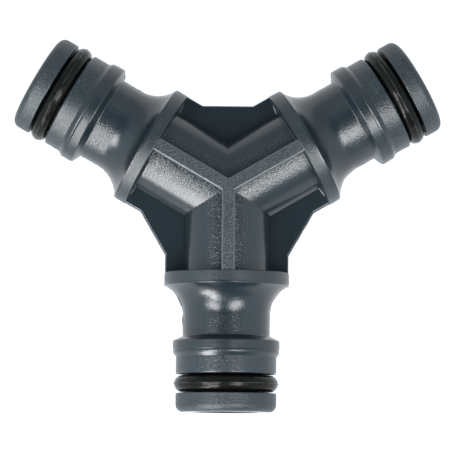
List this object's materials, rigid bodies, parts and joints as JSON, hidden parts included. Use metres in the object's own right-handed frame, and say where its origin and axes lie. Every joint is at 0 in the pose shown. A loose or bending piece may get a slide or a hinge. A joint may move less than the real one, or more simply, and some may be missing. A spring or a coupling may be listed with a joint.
{
  "type": "tubing y connector",
  "caption": "Moulded plastic Y connector with O-ring sealed quick-connect spigots that joins garden hose couplings in a branched water way.",
  "frame": {"origin": "where the axes of the arms meet, on the parting plane", "axes": "+Z square to the plane of the arms; the stem points along -Y, the other arms 120 degrees either side"},
  "size_m": [0.0682, 0.0593, 0.0198],
  "materials": {
    "body_plastic": "satin, fine spark-eroded grain, dark slate grey",
    "ring_rubber": "semi-gloss black nitrile rubber, lightly greased"
  },
  "bodies": {
    "root": {"body": "body_plastic", "o_ring_stem": "ring_rubber", "o_ring_right": "ring_rubber", "o_ring_left": "ring_rubber"}
  },
  "joints": []
}
